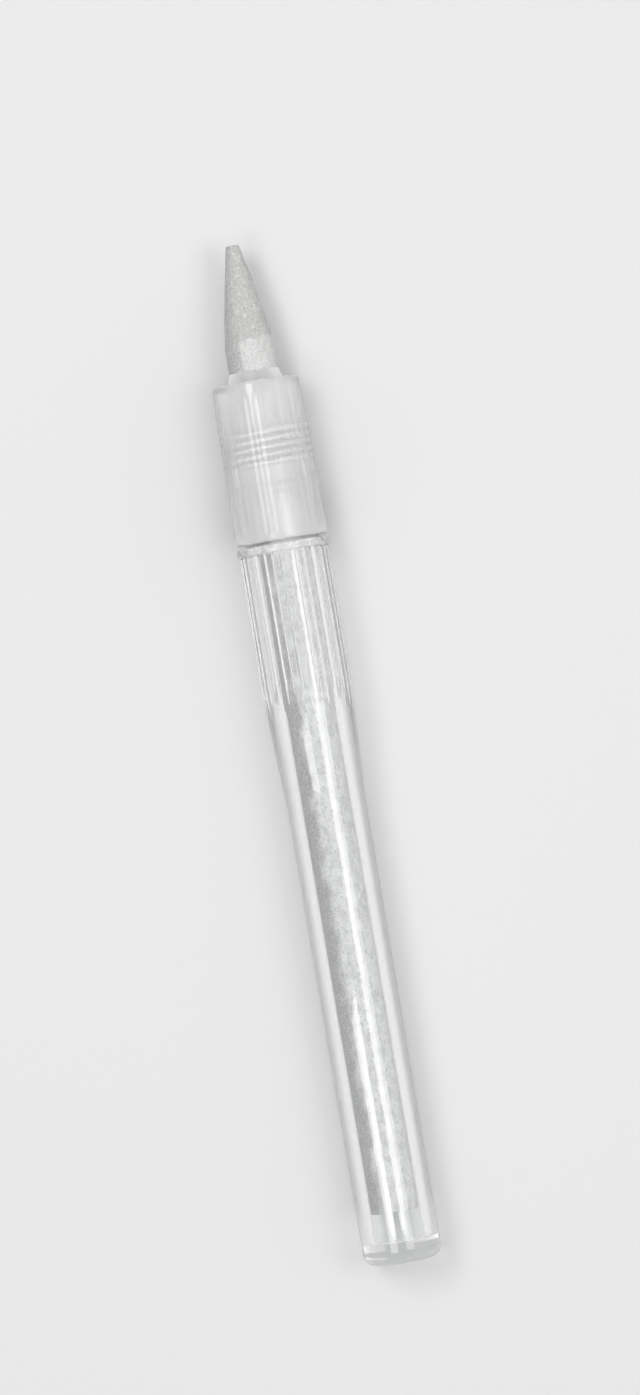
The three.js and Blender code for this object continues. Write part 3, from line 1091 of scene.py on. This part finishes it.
@dataclass
class Studio:
    """The pale floor, the soft lamps, the white surroundings and the camera."""

    lamps: tuple[Lamp, ...] = (
        Lamp("right_strip", 26.7, along=-0.035, length=0.19, width=0.24, radiance=3.9),
        Lamp("left_strip", -21.5, along=-0.105, length=0.085, width=0.222, radiance=4.6, twist=2.1),
        Lamp("left_front", -19.0, along=0.19, length=0.26, width=0.16, radiance=6.4, shown=False),
        Lamp("right_softbox", 68.0, along=0.08, length=0.5, width=0.5, radiance=0.4),
    )
    lamp_distance: float = 0.6
    floor_size: float = 6.0
    floor_colour: Shade = (0.83, 0.83, 0.83)
    floor_fade: Span = (0.2, 0.7)
    ambient_low: float = 0.18
    ambient_high: float = 1.45
    zenith_power: int = 4
    surroundings: float = 0.88
    lens: float = 160.0
    sensor: float = 36.0
    clip: Span = (0.01, 20.0)
    view_height: float = 181.2
    lean_deg: float = 9.6
    centre_right: float = 0.26
    centre_up: float = 7.27

    def lay_floor(self) -> None:
        """Lays the floor, which turns plain white far from the pencil."""
        corners = np.array([[-1, -1, 0], [1, -1, 0], [1, 1, 0], [-1, 1, 0]])
        floor = make_object("floor", self.floor_size / 2 * corners, [[0, 1, 2, 3]])
        recipe, material = Recipe.for_material("floor_paper")
        spot = recipe.add("TexCoord", output="Object")
        paper = recipe.plain("BsdfDiffuse", self.floor_colour)
        glow = recipe.plain("Emission", self.floor_colour)
        away = recipe.length(spot).eased(*self.floor_fade)
        recipe.finish(recipe.either(away, paper, glow))
        floor.data.materials.append(material)

    def hang_lamps(self) -> None:
        """Hangs every lamp, turned towards the pencil.

        Formula: a flat lamp of radiance L and area A gives pi L A watts.
        """
        for lamp in self.lamps:
            light = bpy.data.lights.new(lamp.name, "AREA")
            light.shape = "RECTANGLE"
            light.size, light.size_y = lamp.length, lamp.width
            light.energy = math.pi * lamp.length * lamp.width * lamp.radiance
            holder = bpy.data.objects.new(lamp.name, light)
            holder.visible_transmission = lamp.shown
            bearing, twist = math.radians(lamp.bearing), math.radians(lamp.twist)
            aim = Matrix.Rotation(bearing, 4, "X") @ Matrix.Rotation(twist, 4, "Z")
            out = Vector((0, -math.sin(bearing), math.cos(bearing))) * self.lamp_distance
            spot = out + Vector((lamp.along, 0, AXIS_HEIGHT * MM))
            holder.matrix_world = Matrix.Translation(spot) @ aim
            bpy.context.scene.collection.objects.link(holder)

    def surround(self) -> None:
        """Lights the scene evenly, and shows white to the camera and in gloss and glass."""
        world = bpy.data.worlds.new("studio")
        world.use_nodes = True
        bpy.context.scene.world = world
        recipe = Recipe(world.node_tree)
        path = recipe.add("LightPath", output="Is Camera Ray")
        seen = path.math("MAXIMUM", path.output("Is Glossy Ray"))
        seen = seen.math("MAXIMUM", path.output("Is Transmission Ray"))
        way = recipe.add("TexCoord", output="Generated")
        height = recipe.add("SeparateXYZ", {0: way}, "Z").math("MAXIMUM", 0.0)
        zenith = (self.ambient_high - self.ambient_low) * height**self.zenith_power
        shown, fill = (
            recipe.add("Background", {"Color": (1, 1, 1, 1), "Strength": strength})
            for strength in (self.surroundings, self.ambient_low + zenith)
        )
        recipe.finish(recipe.either(seen, fill, shown), "OutputWorld")

    def set_camera(self) -> None:
        """Looks straight down, with the pencil's tip leaning to the left of the frame."""
        data = bpy.data.cameras.new("camera")
        data.lens, data.sensor_width = self.lens, self.sensor
        data.clip_start, data.clip_end = self.clip
        lean = math.radians(self.lean_deg)
        right = Vector((-math.sin(lean), -math.cos(lean), 0))
        up = Vector((math.cos(lean), -math.sin(lean), 0))
        distance = self.view_height * self.lens / self.sensor
        centre = right * self.centre_right + up * self.centre_up
        centre += Vector((0, 0, AXIS_HEIGHT + distance))
        camera = bpy.data.objects.new("camera", data)
        turn = Matrix((right, up, Vector((0, 0, 1)))).transposed().to_4x4()
        camera.matrix_world = Matrix.Translation(centre * MM) @ turn
        bpy.context.scene.collection.objects.link(camera)
        bpy.context.scene.camera = camera

    def build(self) -> None:
        """Sets the whole studio up."""
        self.lay_floor()
        self.hang_lamps()
        self.surround()
        self.set_camera()
        bpy.context.scene.view_settings.view_transform = "Standard"


def main() -> None:
    """Builds the pencil's pieces in order, and then the studio."""
    logging.basicConfig(level=logging.INFO, format="%(name)s: %(message)s")
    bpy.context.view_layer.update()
    barrel = Barrel()
    barrel.dress(barrel.build())
    collet = Collet()
    collet.dress(collet.build_body(), [collet.build_jaw(k) for k in range(1, collet.jaws + 1)])
    nut = ClampNut()
    nut.dress(nut.build())
    stick = Stick()
    stick.dress(stick.build())
    Studio().build()
    bpy.context.view_layer.update()


if __name__ == "__main__":
    main()
